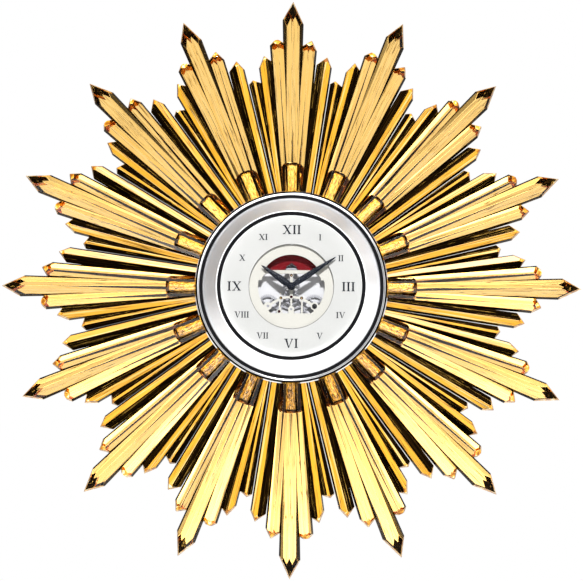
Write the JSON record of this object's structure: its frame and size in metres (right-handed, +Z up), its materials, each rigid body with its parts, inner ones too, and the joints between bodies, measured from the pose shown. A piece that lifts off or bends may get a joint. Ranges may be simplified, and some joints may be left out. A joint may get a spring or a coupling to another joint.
{
  "type": "sunburst wall clock",
  "caption": "Wall clock with a round metal case and dial, ringed by gilded crystal rays that form a star, with a mechanical movement, hands and a lift-off glazed bezel.",
  "frame": {"origin": "where the axis of the hands meets the wall, at the centre of the back plate's rear face", "axes": "+Z up, +X to the right of someone who looks at the dial, +Y into the wall; the dial faces -Y"},
  "size_m": [0.62, 0.064, 0.62],
  "materials": {
    "gilded_crystal": "clear cut crystal with a gold coating fired on its back, polished facets",
    "gold_stud": "gold-plated, textured along its length",
    "case_metal": "satin dark grey lacquer",
    "screw_steel": "turned steel",
    "satin_silver": "fine satin silver, turned",
    "polished_steel": "mirror-polished silver",
    "black_lacquer": "gloss black lacquer",
    "clear_glass": "flat clear glass, polished",
    "dial_silver": "silver-white fine matt dial",
    "ivory_plate": "ivory satin lacquer",
    "white_plate": "white satin lacquer",
    "ruby": "polished dark ruby",
    "red_enamel": "deep red enamel",
    "brass_work": "gilt brass, fine grain",
    "winding_steel": "nickelled steel, brushed in circles",
    "spring_steel": "blued spring steel",
    "dark_steel": "dark polished steel",
    "blued_steel": "blue-black polished"
  },
  "bodies": {
    "root": {"back_plate": "case_metal", "back_plate_screws": "screw_steel", "case_body": "case_metal", "ray_studs": "gold_stud", "stud_screws": "screw_steel", "crystal_ray_01": "gilded_crystal", "crystal_ray_02": "gilded_crystal", "crystal_ray_03": "gilded_crystal", "crystal_ray_04": "gilded_crystal", "crystal_ray_05": "gilded_crystal", "crystal_ray_06": "gilded_crystal", "crystal_ray_07": "gilded_crystal", "crystal_ray_08": "gilded_crystal", "crystal_ray_09": "gilded_crystal", "crystal_ray_10": "gilded_crystal", "crystal_ray_11": "gilded_crystal", "crystal_ray_12": "gilded_crystal", "crystal_ray_13": "gilded_crystal", "crystal_ray_14": "gilded_crystal", "crystal_ray_15": "gilded_crystal", "crystal_ray_16": "gilded_crystal", "dial": "dial_silver", "centre_plate": "ivory_plate", "jewels": "ruby", "balance_cock": "dark_steel", "red_panel": "red_enamel", "front_plate": "white_plate", "main_plate": "brass_work", "back_spacers": "brass_work", "pillars": "brass_work", "dial_spacers": "brass_work", "movement_screws": "screw_steel"},
    "bezel_group": {"bezel": "satin_silver", "bezel_bead": "polished_steel", "bezel_outer_band": "black_lacquer", "bezel_inner_band": "black_lacquer", "dial_glass": "clear_glass"},
    "minute": {"centre_wheel": "brass_work", "cannon_pinion": "winding_steel", "minute_hand": "blued_steel", "hand_nut": "blued_steel"},
    "hour": {"hour_wheel": "winding_steel", "hour_hand": "blued_steel"},
    "motion": {"minute_wheel": "winding_steel"},
    "third": {"third_wheel": "brass_work"},
    "fourth": {"fourth_wheel": "brass_work"},
    "escape": {"escape_wheel": "brass_work"},
    "middle_left": {"intermediate_left": "brass_work"},
    "middle_right": {"intermediate_right": "brass_work"},
    "barrel_left_group": {"barrel_left": "brass_work", "mainspring_left": "spring_steel"},
    "barrel_right_group": {"barrel_right": "brass_work", "mainspring_right": "spring_steel"},
    "crown": {"crown_wheel": "winding_steel"},
    "winding_left": {"winding_arbor_left": "winding_steel"},
    "winding_right": {"winding_arbor_right": "winding_steel"},
    "click_group": {"click": "spring_steel"},
    "pallet": {"pallet_fork": "winding_steel"},
    "balance": {"balance_wheel": "brass_work", "hairspring": "spring_steel"}
  },
  "joints": [
    {"name": "bezel_lift", "type": "slide", "parent": "root", "child": "bezel_group", "axis": [0, -1, 0], "range_m": [0, 0.05]},
    {"name": "minute_turn", "type": "hinge", "parent": "root", "child": "minute", "pos_m": [0, -0.03, 0], "axis": [0, 1, 0], "continuous": true},
    {"name": "hour_turn", "type": "hinge", "parent": "root", "child": "hour", "pos_m": [0, -0.03, 0], "axis": [0, 1, 0], "continuous": true},
    {"name": "motion_turn", "type": "hinge", "parent": "root", "child": "motion", "pos_m": [0, -0.03, -0.0111], "axis": [0, 1, 0], "continuous": true},
    {"name": "third_turn", "type": "hinge", "parent": "root", "child": "third", "pos_m": [-0.0105, -0.03, 0.0035], "axis": [0, 1, 0], "continuous": true},
    {"name": "fourth_turn", "type": "hinge", "parent": "root", "child": "fourth", "pos_m": [-0.0104, -0.03, 0.014], "axis": [0, 1, 0], "continuous": true},
    {"name": "escape_turn", "type": "hinge", "parent": "root", "child": "escape", "pos_m": [0, -0.03, 0.012], "axis": [0, 1, 0], "continuous": true},
    {"name": "middle_left_turn", "type": "hinge", "parent": "root", "child": "middle_left", "pos_m": [-0.011, -0.03, -0.0123], "axis": [0, 1, 0], "continuous": true},
    {"name": "middle_right_turn", "type": "hinge", "parent": "root", "child": "middle_right", "pos_m": [0.011, -0.03, -0.0123], "axis": [0, 1, 0], "continuous": true},
    {"name": "barrel_left_turn", "type": "hinge", "parent": "root", "child": "barrel_left_group", "pos_m": [-0.0248, -0.03, -0.021], "axis": [0, 1, 0], "continuous": true},
    {"name": "barrel_right_turn", "type": "hinge", "parent": "root", "child": "barrel_right_group", "pos_m": [0.0248, -0.03, -0.021], "axis": [0, 1, 0], "continuous": true},
    {"name": "crown_turn", "type": "hinge", "parent": "root", "child": "crown", "pos_m": [0, -0.03, -0.0242], "axis": [0, 1, 0], "continuous": true},
    {"name": "winding_left_turn", "type": "hinge", "parent": "root", "child": "winding_left", "pos_m": [-0.0248, -0.03, -0.021], "axis": [0, 1, 0], "continuous": true},
    {"name": "winding_right_turn", "type": "hinge", "parent": "root", "child": "winding_right", "pos_m": [0.0248, -0.03, -0.021], "axis": [0, 1, 0], "continuous": true},
    {"name": "click_lift", "type": "hinge", "parent": "root", "child": "click_group", "pos_m": [0.0095, -0.03, -0.04], "axis": [0, 1, 0], "range_deg": [0, 10]},
    {"name": "pallet_swing", "type": "hinge", "parent": "root", "child": "pallet", "pos_m": [0.0052, -0.03, 0.0133], "axis": [0, 1, 0], "range_deg": [-3, 3]},
    {"name": "balance_swing", "type": "hinge", "parent": "root", "child": "balance", "pos_m": [0, -0.03, 0.0227], "axis": [0, 1, 0], "range_deg": [-140, 140]}
  ],
  "couplings": [
    {"joint": "hour_turn", "follows": "minute_turn", "ratio": 0.083333},
    {"joint": "motion_turn", "follows": "minute_turn", "ratio": -0.33333},
    {"joint": "third_turn", "follows": "minute_turn", "ratio": -8},
    {"joint": "fourth_turn", "follows": "minute_turn", "ratio": 60},
    {"joint": "escape_turn", "follows": "minute_turn", "ratio": -450},
    {"joint": "middle_left_turn", "follows": "minute_turn", "ratio": -0.16667},
    {"joint": "middle_right_turn", "follows": "minute_turn", "ratio": -0.16667},
    {"joint": "barrel_left_turn", "follows": "minute_turn", "ratio": 0.027778},
    {"joint": "barrel_right_turn", "follows": "minute_turn", "ratio": 0.027778},
    {"joint": "winding_right_turn", "follows": "winding_left_turn", "ratio": 1},
    {"joint": "crown_turn", "follows": "winding_left_turn", "ratio": -1}
  ]
}
